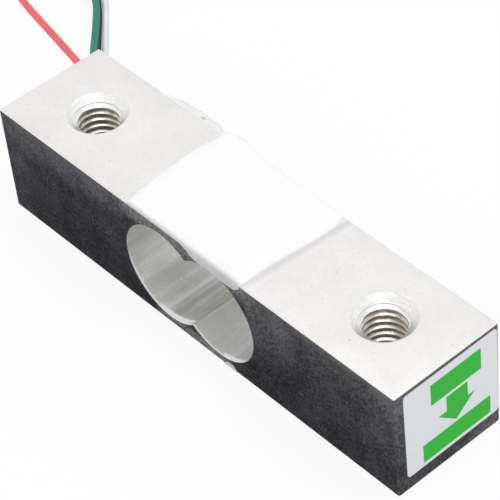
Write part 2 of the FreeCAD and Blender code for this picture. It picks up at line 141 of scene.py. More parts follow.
# The four leads: thin copper strands in soft PVC, each 200 mm long with its last 5 mm bare. They leave the
# bead on the back face, come down behind the bar and run out of the picture. What the picture doesn't show
# is wound into one neat coil, in which each lead keeps a ring of its own.
lead_radius = 0.0004
bare_length = 0.005
bare_radius = 0.00025
strand_count = 7
strand_steps = 8
strand_twist = 20
lead_exit_x = -0.01432
lead_exit_y = 0.00677
exit_run = 0.005
coil_centre = Vector((-0.0552, 0.0325, 0))
coil_inner_radius = 0.0086
coil_ring_pitch = 0.00085
coil_layer = 0.0008
coil_entry_run = 0.004
coil_step_angle = -58.0
coil_step_length = 45.0
points_per_turn = 16
leads = {
    "lead_red": {
        "exit_z": 0.00551, "ring": 3, "entry": 180.0, "end": -484.4, "colour": (0.84, 0.125, 0.13, 1),
        "points": [
            (-0.0262, 0.00715, 0.0039), (-0.0329, 0.0091, 0.0012), (-0.0386, 0.01161, 0.0004),
            (-0.0466, 0.01315, 0.0004), (-0.0546, 0.01465, 0.0004), (-0.0609, 0.0169, 0.0004),
            (-0.0652, 0.0218, 0.0004)]},
    "lead_green": {
        "exit_z": 0.00637, "ring": 2, "entry": -104.0, "end": -920.2, "colour": (0.003, 0.205, 0.14, 1),
        "points": [
            (-0.0262, 0.0073, 0.0054), (-0.0327, 0.0087, 0.0030), (-0.0391, 0.01285, 0.0012),
            (-0.04305, 0.01656, 0.0012), (-0.04697, 0.0199, 0.00126), (-0.04935, 0.0203, 0.00088),
            (-0.0512, 0.02084, 0.0004)]},
    "lead_white": {
        "exit_z": 0.00723, "ring": 0, "entry": -104.0, "end": -1079.6, "colour": (0.80, 0.80, 0.84, 1),
        "points": [
            (-0.0261, 0.0083, 0.0059), (-0.0323, 0.0108, 0.0029), (-0.0379, 0.0136, 0.0004),
            (-0.04232, 0.01722, 0.0004), (-0.04662, 0.02078, 0.0004), (-0.04888, 0.0219, 0.0004),
            (-0.0506, 0.02256, 0.0004)]},
    "lead_black": {
        "exit_z": 0.00809, "ring": 1, "entry": -104.0, "end": -991.2, "colour": (0.018, 0.018, 0.022, 1),
        "points": [
            (-0.02615, 0.00785, 0.0070), (-0.0323, 0.00985, 0.0034), (-0.03852, 0.01296, 0.0004),
            (-0.04277, 0.01654, 0.0004), (-0.04687, 0.01996, 0.0004), (-0.04908, 0.02108, 0.0004),
            (-0.0507, 0.0216, 0.0004)]},
}


def on_ring(radius, degrees, z):
    """A place on a ring of the coil."""
    angle = math.radians(degrees)
    return coil_centre + Vector((radius * math.cos(angle), radius * math.sin(angle), z))


def along_ring(degrees):
    """The direction in which a lead runs round the coil: clockwise from above."""
    angle = math.radians(degrees)
    return Vector((math.sin(angle), -math.cos(angle), 0))


def smooth(t):
    """Takes a share from 0 to 1 and gives it a soft start and end."""
    return t * t * (3 - 2 * t)


def coil_height(degrees, entry):
    """A turn lies level, and steps up on the turn below just before it comes over the leads that run in."""
    since_step = entry - degrees - (entry - coil_step_angle) % 360
    below = math.floor(since_step / 360) + 1
    rest = below * 360 - since_step
    return lead_radius + coil_layer * (below + smooth(max(1 - rest / coil_step_length, 0)))


def lead_points(lead):
    """The control points of a lead: the exit, the way to the coil, and then the coil's turns."""
    radius = coil_inner_radius + lead["ring"] * coil_ring_pitch
    exit_point = Vector((lead_exit_x, lead_exit_y, lead["exit_z"]))
    points = [exit_point, exit_point - Vector((exit_run, 0, 0))] + [Vector(p) for p in lead["points"]]
    entry = on_ring(radius, lead["entry"], lead_radius)
    points += [entry - along_ring(lead["entry"]) * coil_entry_run, entry]
    step = 360 / points_per_turn
    outer = radius / math.cos(math.radians(step / 2))
    angle = lead["entry"] - step / 2
    while angle > lead["end"] + step / 4:
        points.append(on_ring(outer, angle, coil_height(angle, lead["entry"])))
        angle -= step
    points.append(on_ring(radius, lead["end"], coil_height(lead["end"], lead["entry"])))
    return points


def round_curve(name, points, radius, bevel_resolution):
    """A round, closed curve with the given control points, as a new object."""
    curve = bpy.data.curves.new(name, "CURVE")
    curve.dimensions = "3D"
    curve.bevel_depth = radius
    curve.bevel_resolution = bevel_resolution
    curve.use_fill_caps = True
    line = curve.splines.new("NURBS")
    line.points.add(len(points) - 1)
    for point, spot in zip(line.points, points):
        point.co = (*spot, 1)
    line.order_u = 3
    line.use_endpoint_u = True
    made = bpy.data.objects.new(name, curve)
    scene.collection.objects.link(made)
    return made


def bare_end(name, start, direction):
    """Tinned strands with a slight twist round a middle one, where the PVC is stripped off."""
    bpy.ops.object.select_all(action="DESELECT")
    strand_radius = bare_radius / 3
    side = direction.cross(Vector((0, 0, 1)))
    for k in range(strand_count):
        off = 0 if k == strand_count - 1 else 2 * strand_radius
        points = []
        for j in range(strand_steps + 1):
            turn = math.radians(360 / (strand_count - 1) * k + strand_twist * j)
            spot = start + direction * (bare_length * j / strand_steps)
            points.append(spot + side * (off * math.cos(turn)) + Vector((0, 0, off * math.sin(turn))))
        strand = round_curve(name, points, strand_radius, 2)
        strand.select_set(True)
        bpy.context.view_layer.objects.active = strand
    bpy.ops.object.convert(target="MESH")
    bpy.ops.object.join()
    joined = bpy.context.object
    joined.name = name
    joined.data.name = name
    return joined


def object_place(tree):
    """The place on the piece, in metres."""
    return node(tree, "ShaderNodeTexCoord").outputs["Object"]


def noise(tree, place, scale, detail=3.0, stretch=None, turn=(0, 0, 0), roughness=0.6):
    """Noise by size, in turns per metre. Stretched noise is given a scale for each direction instead."""
    if stretch:
        place = node(tree, "ShaderNodeMapping", Vector=place, Scale=stretch, Rotation=turn).outputs[0]
    return node(tree, "ShaderNodeTexNoise", Vector=place, Scale=scale, Detail=detail,
                Roughness=roughness).outputs[0]


def plain_noise(tree, scale, detail):
    """Softer noise, for the simple materials."""
    return noise(tree, object_place(tree), scale, detail, roughness=0.5)


def tinted(tree, factor, low, high, blend="MIX"):
    """Mixes two colours, or two nodes' colours, by a factor."""
    return node(tree, "ShaderNodeMix", {"data_type": "RGBA", "blend_type": blend},
                _0=factor, _6=low, _7=high).outputs[2]


def finish(tree, colour, roughness, metallic, relief=None, depth=0.0, strength=0.3):
    """Ends a material: its shader, with a relief as fine as the depth if there is one."""
    surface = node(tree, "ShaderNodeBsdfPrincipled", Base_Color=colour, Roughness=roughness, Metallic=metallic)
    if relief:
        bump = node(tree, "ShaderNodeBump", Strength=strength, Distance=depth, Height=relief)
        tree.links.new(bump.outputs[0], surface.inputs["Normal"])
    node(tree, "ShaderNodeOutputMaterial", Surface=surface.outputs[0])
    return surface


def pvc(name, colour):
    """Soft PVC: one colour with a faint unevenness, and a skin that is neither dull nor glossy."""
    material, tree = new_material(name)
    cloud = plain_noise(tree, 900.0, 3.0)
    pale = tuple(min(1.0, c * 1.18 + 0.006) for c in colour[:3]) + (1,)
    deep = tuple(c * 0.86 for c in colour[:3]) + (1,)
    gloss = node(tree, "ShaderNodeMapRange", _0=cloud, _3=0.38, _4=0.55).outputs[0]
    finish(tree, tinted(tree, cloud, deep, pale), gloss, 0.0, plain_noise(tree, 6000.0, 2.0), 0.00002, 0.08)
    return material


tinned_strand, tree = new_material("tinned_strand")
tint = tinted(tree, plain_noise(tree, 4000.0, 2.0), (0.55, 0.53, 0.50, 1), (0.80, 0.78, 0.74, 1))
finish(tree, tint, 0.3, 1.0)

for name, lead in leads.items():
    slot = "pvc_" + name.removeprefix("lead_")
    points = lead_points(lead)
    cord = round_curve(name + "_cord", points, lead_radius, 4)
    cord.data.resolution_u = 8
    cord.data.materials.append(pvc(slot, lead["colour"]))
    tip = bare_end(name + "_strands", points[-1], along_ring(lead["end"]))
    tip.data.materials.append(tinned_strand)
    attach(cord, "root")
    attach(tip, "root")
    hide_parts(name, name + "_coil")
    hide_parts(name + "_tip")

# The bar: one piece of aluminium, milled on top and underneath and left as drawn on its sides and ends. The
# double bore is milled through its width, and each end has a countersunk hole with an M5 thread.
bar_low, bar_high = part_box("load_beam")
bar_middle = (bar_low + bar_high) / 2
bar_size = bar_high - bar_low
bore_radius = 0.0055
bore_offset = 0.0035
screw_x = 0.02
thread_pitch = 0.0008
thread_crest = 0.0021
thread_root = 0.0025
mouth_radius = 0.0031
mouth_depth = 0.001
mouth_overcut = 0.001
edge_break = 0.0002


def only(piece):
    """Leaves one piece selected and active."""
    if bpy.context.mode != "OBJECT":
        bpy.ops.object.mode_set(mode="OBJECT")
    bpy.ops.object.select_all(action="DESELECT")
    piece.select_set(True)
    bpy.context.view_layer.objects.active = piece


def edit_all(piece):
    """Opens a piece in edit mode with everything selected."""
    only(piece)
    bpy.ops.object.mode_set(mode="EDIT")
    bpy.ops.mesh.select_all(action="SELECT")


def place_in_mesh(piece):
    """Leaves the piece where it is, but with its origin at the frame's and no turn or scale."""
    only(piece)
    bpy.ops.object.transform_apply(location=True, rotation=True, scale=True)


def cut_away(body, tool):
    """Cuts a tool's form out of a body, and removes the tool."""
    only(body)
    bpy.ops.object.modifier_add(type="BOOLEAN")
    cut = body.modifiers[-1]
    cut.operation = "DIFFERENCE"
    cut.solver = "EXACT"
    cut.object = tool
    bpy.ops.object.modifier_apply(modifier=cut.name)
    bpy.data.objects.remove(tool)


def tap(x):
    """The form of an M5 tap: one turn of its profile, screwed up past both faces of the bar."""
    profile = [(thread_crest, 0), (thread_crest, 0.1), (thread_root, 0.42), (thread_root, 0.52),
               (thread_crest, 0.84), (thread_crest, 1)]
    mesh = bpy.data.meshes.new("tap")
    mesh.from_pydata([(r, 0, share * thread_pitch) for r, share in profile],
                     [(k, k + 1) for k in range(len(profile) - 1)], [])
    piece = bpy.data.objects.new("tap", mesh)
    scene.collection.objects.link(piece)
    piece.location = (x, 0, bar_low.z - 2 * thread_pitch)
    only(piece)
    bpy.ops.object.modifier_add(type="SCREW")
    screw = piece.modifiers[-1]
    screw.axis = "Z"
    screw.angle = 2 * math.pi
    screw.screw_offset = thread_pitch
    screw.iterations = math.ceil(bar_size.z / thread_pitch) + 3
    screw.steps = 40
    screw.render_steps = 40
    screw.use_merge_vertices = True
    screw.merge_threshold = 1e-7
    bpy.ops.object.modifier_apply(modifier=screw.name)
    place_in_mesh(piece)
    edit_all(piece)
    bpy.ops.mesh.remove_doubles(threshold=1e-6)
    bpy.ops.mesh.fill_holes(sides=0)
    bpy.ops.mesh.normals_make_consistent(inside=False)
    bpy.ops.object.mode_set(mode="OBJECT")
    return piece


bpy.ops.object.select_all(action="DESELECT")
bpy.ops.mesh.primitive_cube_add(size=1.0, location=bar_middle, scale=bar_size)
bar = bpy.context.object
bar.name = "bar"
place_in_mesh(bar)
edit_all(bar)
bpy.ops.mesh.bevel(offset=edge_break, segments=3, affect="EDGES")
bpy.ops.object.mode_set(mode="OBJECT")

for x in (-bore_offset, bore_offset):
    bpy.ops.mesh.primitive_cylinder_add(vertices=128, radius=bore_radius, depth=2 * bar_size.y,
                                        location=(x, 0, bar_middle.z), rotation=(math.pi / 2, 0, 0))
    cutter = bpy.context.object
    place_in_mesh(cutter)
    cut_away(bar, cutter)

for x in (-screw_x, screw_x):
    cut_away(bar, tap(x))
    for z, up in ((bar_high.z, 1), (bar_low.z, -1)):
        bpy.ops.mesh.primitive_cone_add(
            vertices=96, radius1=mouth_radius - mouth_depth, radius2=mouth_radius + mouth_overcut,
            depth=mouth_depth + mouth_overcut, location=(x, 0, z + up * (mouth_overcut - mouth_depth) / 2),
            rotation=(0 if up > 0 else math.pi, 0, 0))
        cutter = bpy.context.object
        place_in_mesh(cutter)
        cut_away(bar, cutter)


def ramp(tree, value, start, end, low=0.0, high=1.0):
    """Goes softly from low to high while the value goes from start to end."""
    return node(tree, "ShaderNodeMapRange", {"interpolation_type": "SMOOTHSTEP"}, _0=value, _1=start, _2=end,
                _3=low, _4=high).outputs[0]


def band(tree, value, start, full, fall, end):
    """1 between full and fall, and softly 0 outside start and end."""
    return times(tree, ramp(tree, value, start, full), ramp(tree, value, end, fall))


def times(tree, first, second):
    return calc(tree, "MULTIPLY", first, second)


def blended(tree, factor, first, second):
    """Mixes two values by a factor."""
    return node(tree, "ShaderNodeMix", {"data_type": "FLOAT"}, _0=factor, _2=first, _3=second).outputs[0]


# Milled top and underside: very pale and matt, with a fine grain and a few darker specks. Beside the coat's
# right end a grey band is painted shade, as if cast by the coat's end.
milled, tree = new_material("aluminium_milled")
place = object_place(tree)
at_x, at_y, at_z = node(tree, "ShaderNodeSeparateXYZ", Vector=place).outputs
grain = noise(tree, place, 1.0, 3.0, (3000, 4200, 3000))
cloud = noise(tree, place, 240.0, 4.0)
speck = noise(tree, place, 2600.0, 1.0)
tint = tinted(tree, ramp(tree, cloud, 0.3, 0.7), (0.79, 0.78, 0.765, 1), (0.845, 0.835, 0.825, 1))
tint = tinted(tree, ramp(tree, grain, 0.35, 0.75, 0.0, 0.35), tint, (0.70, 0.69, 0.665, 1))
tint = tinted(tree, ramp(tree, speck, 0.73, 0.78, 0.0, 0.5), tint, (0.42, 0.38, 0.33, 1))
beside_coat = calc(tree, "MULTIPLY_ADD", at_y, -0.075, at_x)
# Painted shade: a soft grey band just past the coat's right end.
coat_end_shade = band(tree, beside_coat, 0.0080, 0.0084, 0.0085, 0.0092)
tint = tinted(tree, times(tree, coat_end_shade, 0.75), tint, (0.66, 0.66, 0.665, 1))
finish(tree, tint, 0.55, 0.45, grain, 0.000004)

# Sides and ends as drawn: dark blue-grey and mottled, with fine grit. The dark blue-grey is a painted
# reflection of dark surroundings, on the same aluminium as the top.
drawn, tree = new_material("aluminium_drawn")
place = object_place(tree)
at_x, at_y, at_z = node(tree, "ShaderNodeSeparateXYZ", Vector=place).outputs
off_middle = calc(tree, "ABSOLUTE", at_x)
cloud = noise(tree, place, 380.0, 5.0)
grain = noise(tree, place, 3000.0, 5.0)
mottle = blended(tree, 0.66, cloud, grain)
hue = ramp(tree, noise(tree, place, 170.0, 2.0), 0.4, 0.6)
# Painted reflection: these dark and pale tints stand for dark surroundings seen in the metal.
dark = tinted(tree, hue, (0.043, 0.043, 0.053, 1), (0.046, 0.047, 0.048, 1))
pale = tinted(tree, hue, (0.116, 0.116, 0.131, 1), (0.120, 0.122, 0.124, 1))
tint = tinted(tree, ramp(tree, mottle, 0.40, 0.60), dark, pale)
grit = ramp(tree, noise(tree, place, 5200.0, 2.0), 0.55, 0.70, 0.0, 0.65)
tint = tinted(tree, grit, tint, (0.19, 0.195, 0.205, 1))

# Painted light and shade: they are paler towards the top and the ends, on the fixed half and beside the bore.
fixed_half = times(tree, ramp(tree, at_x, -0.008, -0.0105), ramp(tree, at_z, 0.0085, 0.0115, 0.0, 0.45))
right_of_bore = band(tree, at_x, 0.007, 0.009, 0.0120, 0.0160)
right_of_bore = times(tree, right_of_bore, ramp(tree, at_z, 0.0045, 0.0115, 0.0, 0.54))
end_face = ramp(tree, at_x, 0.0273, 0.0276, 0.0, 0.22)
end_face = times(tree, end_face, ramp(tree, at_y, 0.001, 0.0045, 1.0, 3.6))
upper = ramp(tree, at_z, 0.0085, 0.0125, 0.0, 0.22)
near_ends = ramp(tree, off_middle, 0.021, 0.0277, 0.0, 0.28)
painted_light_level = ramp(tree, at_z, 0.0035, 0.0075, 0.52, 0.67)
for part in (upper, near_ends, fixed_half, right_of_bore, end_face):
    painted_light_level = calc(tree, "ADD", painted_light_level, part)
# The painted light and shade multiplies the colour.
tint = tinted(tree, 1.0, tint, painted_light_level, "MULTIPLY")

# The top edge is rubbed and carries a painted highlight, the webs over and under the bore are pale, and
# there are short scratches all over.
rubbed_edge_highlight = times(tree, ramp(tree, at_z, 0.0119, 0.0131), ramp(tree, cloud, 0.3, 0.6, 0.35, 0.8))
tint = tinted(tree, rubbed_edge_highlight, tint, (0.155, 0.150, 0.140, 1))
upper_web = times(tree, ramp(tree, at_z, 0.0108, 0.0122), ramp(tree, off_middle, 0.0102, 0.0078))
lower_web = times(tree, ramp(tree, at_z, 0.0022, 0.0012), ramp(tree, off_middle, 0.0062, 0.0045))
web = calc(tree, "MAXIMUM", upper_web, lower_web)
web_tint = tinted(tree, ramp(tree, grain, 0.38, 0.62), (0.15, 0.155, 0.145, 1), (0.29, 0.295, 0.28, 1))
tint = tinted(tree, times(tree, web, ramp(tree, mottle, 0.4, 0.6, 0.6, 1.0)), tint, web_tint)
scratch = ramp(tree, noise(tree, place, 1.0, 2.0, (800, 600, 6500), (0, 0.22, 0)), 0.65, 0.72)
scratch = times(tree, scratch, ramp(tree, noise(tree, place, 700.0, 2.0), 0.46, 0.58))
tint = tinted(tree, times(tree, scratch, 0.6), tint, (0.34, 0.35, 0.35, 1))
metal = finish(tree, tint, ramp(tree, grain, 0.3, 0.7, 0.40, 0.55), 1.0, mottle, 0.00001, 0.4)
metal.inputs["Specular Tint"].default_value = (0.45, 0.45, 0.48, 1)

# The bore: milled bright, with streaks that run along its axis, and specks.
bored, tree = new_material("aluminium_bored")
place = object_place(tree)
at_x, at_y, at_z = node(tree, "ShaderNodeSeparateXYZ", Vector=place).outputs
streak = noise(tree, place, 1.0, 4.0, (1900, 110, 1900))
fine = noise(tree, place, 1.0, 2.0, (7000, 500, 7000))
cloud = noise(tree, place, 520.0, 4.0)
speck = noise(tree, place, 2300.0, 1.0)
mottle = blended(tree, 0.5, streak, cloud)
tint = tinted(tree, ramp(tree, mottle, 0.36, 0.64), (0.68, 0.68, 0.655, 1), (0.86, 0.86, 0.84, 1))
tint = tinted(tree, ramp(tree, fine, 0.4, 0.75, 0.0, 0.4), tint, (0.60, 0.60, 0.57, 1))
tint = tinted(tree, ramp(tree, speck, 0.66, 0.72, 0.0, 0.7), tint, (0.95, 0.95, 0.93, 1))

# Single streaks low in the bore: where each starts, is full, falls and ends, its strength and its shade.
wander = calc(tree, "MULTIPLY_ADD", cloud, 0.0004, at_x)
low_side = ramp(tree, at_z, 0.0060, 0.0042)
for bounds, strength, shade in (
        ((-0.0075, -0.0069, -0.0064, -0.0059), 0.45, (0.55, 0.55, 0.53, 1)),
        ((-0.0058, -0.0053, -0.0051, -0.0048), 0.35, (0.56, 0.56, 0.54, 1)),
        ((-0.0046, -0.0043, -0.0042, -0.0039), 0.55, (1.0, 1.0, 0.99, 1)),
        ((-0.0036, -0.0033, -0.0029, -0.0025), 0.55, (0.50, 0.50, 0.48, 1)),
        ((-0.0006, 0.0002, 0.0016, 0.0030), 0.45, (0.56, 0.56, 0.54, 1))):
    there = times(tree, band(tree, wander, *bounds), low_side)
    tint = tinted(tree, times(tree, there, strength), tint, shade)

# The bore's lower lips catch the light in front.
slanted = calc(tree, "MULTIPLY_ADD", at_x, -0.10, at_y)
left_glint = times(tree, band(tree, wander, -0.0054, -0.0045, -0.0006, 0.0002),
                   ramp(tree, slanted, -0.00535, -0.00555))
right_glint = times(tree, band(tree, wander, 0.0036, 0.0045, 0.0068, 0.0078),
                    ramp(tree, at_y, -0.00575, -0.00595))
glint = calc(tree, "MAXIMUM", left_glint, right_glint)
glint = times(tree, glint, ramp(tree, at_z, 0.0040, 0.0030))
lip = times(tree, ramp(tree, at_y, -0.0060, -0.0063), ramp(tree, at_z, 0.0070, 0.0045, 0.0, 0.7))
glint = calc(tree, "MAXIMUM", glint, lip)
tint = tinted(tree, glint, tint, white)
finish(tree, tint, ramp(tree, fine, 0.3, 0.7, 0.34, 0.46), ramp(tree, glint, 0.0, 1.0, 0.75, 0.0), streak, 0.00001)

# Countersinks and threads: turned bright. The threads keep a brownish film of oil, and their first flank is
# painted paler, as light where no crest above shades it.
countersunk, tree = new_material("aluminium_countersunk")
turned = noise(tree, object_place(tree), 1.0, 3.0, (1100, 1100, 9000))
tint = tinted(tree, ramp(tree, turned, 0.35, 0.7), (0.78, 0.78, 0.765, 1), (0.94, 0.94, 0.93, 1))
finish(tree, tint, 0.36, 0.85, turned, 0.000006, 0.2)

threaded, tree = new_material("aluminium_threaded")
place = object_place(tree)
at_x, at_y, at_z = node(tree, "ShaderNodeSeparateXYZ", Vector=place).outputs
oil = noise(tree, place, 1.0, 3.0, (900, 900, 1500))
tint = tinted(tree, ramp(tree, oil, 0.35, 0.7), (0.46, 0.42, 0.35, 1), (0.86, 0.845, 0.81, 1))
# Painted light on the first flank below the countersink, where no crest above shades it.
tint = tinted(tree, ramp(tree, at_z, 0.0117, 0.0119, 0.0, 0.7), tint, (0.92, 0.92, 0.90, 1))
finish(tree, tint, 0.34, 0.82, oil, 0.000006)

bar_finishes = [milled, drawn, bored, countersunk, threaded]
for material in bar_finishes:
    bar.data.materials.append(material)


def bar_finish(face):
    """Which finish a face of the bar has, by where it lies and which way it looks."""
    x, y, z = face.center
    inside = min(bar_high.z - z, z - bar_low.z)
    if math.hypot(abs(x) - screw_x, y) < mouth_radius + 0.0001 and inside > 0.00002:
        on_cone = abs(abs(face.normal.z) - math.cos(math.pi / 4)) < 0.03
        return countersunk if on_cone and inside < mouth_depth else threaded
    if math.hypot(abs(x) - bore_offset, z - bar_middle.z) < bore_radius + 0.0002 and abs(face.normal.y) < 0.5:
        return bored
    return milled if abs(face.normal.z) > 0.4 and inside < 2 * edge_break else drawn


for face in bar.data.polygons:
    face.material_index = bar_finishes.index(bar_finish(face))
only(bar)
bpy.ops.object.shade_smooth_by_angle(angle=math.radians(32))
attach(bar, "root")
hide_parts("load_beam")

# The silicone over the gauges: white paste brushed over the top and the underside, crowned, with soft ends.
# At the back it runs over the edge in a lump round the wires, and in front a thin film of it hangs down.
# On the skins, x runs along the bar, and s is the distance round it from the middle of its top.
mm = 0.001
half_width = bar_size.y / 2
flat_half = half_width - edge_break
corner_run = edge_break * math.pi / 2
skin_sink = 0.03 * mm
coat_left = -8.6 * mm
coat_right = 8.2 * mm
coat_height = 0.5 * mm
end_run = 1.3 * mm
front_run = 0.5 * mm
back_run = 0.7 * mm
lip_thinning = 0.83
film_thinning = 0.3
shoulder_thinning = 0.3
wave_height = 0.04 * mm
lower_share = 0.8
lower_share_at_wires = 0.45
smear_share = 0.6
wire_cover = 3.0 * mm
clear_of_floor = 0.00001

# The coat's left and right end at each s, and its hem in front, its lump and its hem behind at each x, in mm.
left_end = [(-6.4, -8.05), (-6.0, -8.15), (-5.3, -8.3), (-4.4, -8.45), (-2.6, -8.6), (-0.8, -8.75), (1.0, -8.9),
            (2.8, -8.95), (4.6, -8.8), (5.5, -8.6), (6.3, -8.8), (7.6, -9.1)]
right_end = [(-6.4, 7.8), (-5.3, 7.95), (-4.4, 8.0), (-2.6, 7.95), (-0.8, 8.1), (1.0, 8.3), (1.9, 8.4),
             (2.8, 8.5), (4.6, 8.5), (5.5, 8.35), (6.4, 8.0), (7.6, 7.6)]
front_hang = [(-8.8, -0.14), (-0.3, -0.06), (0.5, 0.2), (0.9, 0.6), (1.5, 0.78), (2.2, 0.84), (3.4, 0.76),
              (4.4, 0.80), (5.0, 0.88), (5.8, 0.93), (6.6, 0.86), (7.3, 0.84), (7.8, 0.5), (8.3, 0.1)]
back_lump = [(-9.5, 0.45), (-9.0, 0.42), (-8.5, 0.45), (-8.0, 0.6), (-7.4, 0.78), (-6.6, 0.8), (-6.0, 0.78),
             (-5.4, 0.72), (-4.9, 0.64), (-4.4, 0.56), (-3.8, 0.42), (-3.0, 0.24), (0.0, 0.16), (8.5, 0.12)]
back_reach = [(-9.5, 1.5), (-8.0, 1.7), (-6.5, 1.65), (-5.2, 1.5), (-4.4, 1.45), (-3.8, 1.2), (-3.4, 0.8),
              (-2.8, 0.4), (0.0, 0.2), (8.5, 0.1)]


def ease(start, end, value):
    """Goes softly from 0 to 1 while the value goes from start to end."""
    return smooth(min(max((value - start) / (end - start), 0.0), 1.0))


def between(value, pairs):
    """The value of a line through the given points, which are in millimetres."""
    value = value / mm
    if value <= pairs[0][0]:
        return pairs[0][1] * mm
    for (x0, y0), (x1, y1) in zip(pairs, pairs[1:]):
        if value <= x1:
            return (y0 + (y1 - y0) * (value - x0) / (x1 - x0)) * mm
    return pairs[-1][1] * mm


def round_the_bar(s):
    """The place and outward direction at a distance s from the middle of the top, round the edge and down."""
    side = math.copysign(1, s)
    past = abs(s) - flat_half
    if past <= 0:
        return Vector((0, s, bar_high.z)), Vector((0, 0, 1))
    if past < corner_run:
        angle = past / edge_break
        out = Vector((0, side * math.sin(angle), math.cos(angle)))
        return Vector((0, side * flat_half, bar_high.z - edge_break)) + out * edge_break, out
    down = edge_break + (past - corner_run)
    return Vector((0, side * half_width, bar_high.z - down)), Vector((0, side, 0))


def thicken(piece, offset):
    """Extrudes a flat sheet into a closed piece, with its faces turned outwards."""
    edit_all(piece)
    bpy.ops.mesh.extrude_region_move(TRANSFORM_OT_translate={"value": offset})
    bpy.ops.mesh.select_all(action="SELECT")
    bpy.ops.mesh.normals_make_consistent(inside=False)
    bpy.ops.object.mode_set(mode="OBJECT")


def skin(name, columns, rows, outline, thickness):
    """A closed skin of silicone on the bar. The outline turns a place on a unit square into one on the bar."""
    bpy.ops.object.select_all(action="DESELECT")
    bpy.ops.mesh.primitive_grid_add(x_subdivisions=columns, y_subdivisions=rows, size=1)
    piece = bpy.context.object
    piece.name = name
    piece.data.name = name
    thicken(piece, (0, 0, 1))
    for v in piece.data.vertices:
        x, s = outline(v.co.x + 0.5, v.co.y + 0.5)
        on, out = round_the_bar(s)
        depth = thickness(x, s) if v.co.z > 0.5 else -skin_sink
        v.co = on + out * depth + Vector((x, 0, 0))
    return piece


def round_end(inside, full, run):
    """How thick a soft end is at a distance inside its edge: steep and round at first, then full."""
    return full * (1 - (1 - min(max(inside / run, 0.0), 1.0)) ** 2.4) ** 0.6


def coat_outline(u, v):
    """Rows run from the hem in front to the one behind, and columns from end to end."""
    x = coat_left + u * (coat_right - coat_left)
    front = -flat_half - corner_run - between(x, front_hang)
    back = flat_half + corner_run + between(x, back_reach)
    s = front + v * (back - front)
    return between(s, left_end) + u * (between(s, right_end) - between(s, left_end)), s


def top_thickness(x, s):
    """The crowned coat with round ends, thinner to the front lip, the film in front and the lump behind."""
    side = min(x - between(s, left_end), between(s, right_end) - x)
    over = abs(s) - flat_half
    if s < 0:
        hem = between(x, front_hang) + corner_run - over
        lip = 1 - lip_thinning * ease(5.3 * mm, 6.4 * mm, -s)
        full = coat_height * lip * (1 - film_thinning * ease(0, 1.2 * mm, over))
        hem_run = front_run
    else:
        hem = between(x, back_reach) + corner_run - over
        full = coat_height * (1 - shoulder_thinning * ease(2.5 * mm, 6.1 * mm, s))
        full += (between(x, back_lump) - full) * ease(-0.1 * mm, 0.25 * mm, over)
        hem_run = back_run
    wave = wave_height * math.sin(x / mm * 1.3 + 0.7) * math.sin(s / mm * 1.1)
    wave *= ease(0, 1.5 * mm, min(side, hem))
    return min(round_end(side, full, end_run), round_end(hem, full, hem_run)) + wave


def bottom_outline(u, v):
    """The lower coat stops short of the front edge, but for a small smear that runs up the front face."""
    x, s = coat_outline(u, v)
    if s < -flat_half:
        smear = smear_share * ease(3.8 * mm, 4.8 * mm, x) * ease(6.3 * mm, 5.5 * mm, x)
        s = -flat_half - (-s - flat_half) * smear
    return x, s


def bottom_thickness(x, s):
    """The lower coat is alike but was pressed flat, and is thicker round the wires behind."""
    at_wires = ease(1.5 * mm, 3.5 * mm, s) * ease(-1.5 * mm, -3.5 * mm, x)
    return top_thickness(x, s) * (lower_share + lower_share_at_wires * at_wires)


top_coat = skin("top_silicone_coat", 132, 132, coat_outline, top_thickness)
bottom_coat = skin("bottom_silicone_coat", 100, 100, bottom_outline, bottom_thickness)

# The lower coat is turned over to the underside. Behind, it runs out to the left over the wires.
for v in bottom_coat.data.vertices:
    v.co.z = max(2 * bar_middle.z - v.co.z, clear_of_floor)
    v.co.x -= wire_cover * ease(-6.2 * mm, -9.2 * mm, v.co.x) * ease(5.6 * mm, 6.3 * mm, v.co.y)
edit_all(bottom_coat)
bpy.ops.mesh.flip_normals()
bpy.ops.object.mode_set(mode="OBJECT")

# Where the coat turns over the front edge it is thin, and the metal greys it; the grey there is also painted
# shade, where the edge turns away from the light.
silicone_white, tree = new_material("silicone_white")
place = object_place(tree)
at_x, at_y, at_z = node(tree, "ShaderNodeSeparateXYZ", Vector=place).outputs
cloud = noise(tree, place, 350.0)
tint = tinted(tree, cloud, (0.93, 0.93, 0.935, 1), (0.965, 0.965, 0.96, 1))
# Thin film and painted shade: the coat greys towards its front edge.
thin_film_and_shade = times(tree, ramp(tree, at_y, -0.00585, -0.00642), ramp(tree, cloud, 0.3, 0.7, 0.82, 1.0))
tint = tinted(tree, thin_film_and_shade, tint, (0.52, 0.535, 0.55, 1))
rubber = finish(tree, tint, 0.45, 0.0, noise(tree, place, 700.0, 2.0), 0.00005, 0.2)
rubber.inputs["Subsurface Weight"].default_value = 0.12
rubber.inputs["Subsurface Radius"].default_value = (0.0005, 0.0005, 0.0005)

for piece, cad_node in ((top_coat, "top_silicone"), (bottom_coat, "bottom_silicone")):
    only(piece)
    bpy.ops.object.shade_smooth()
    piece.data.materials.append(silicone_white)
    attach(piece, "root")
    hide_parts(cad_node)

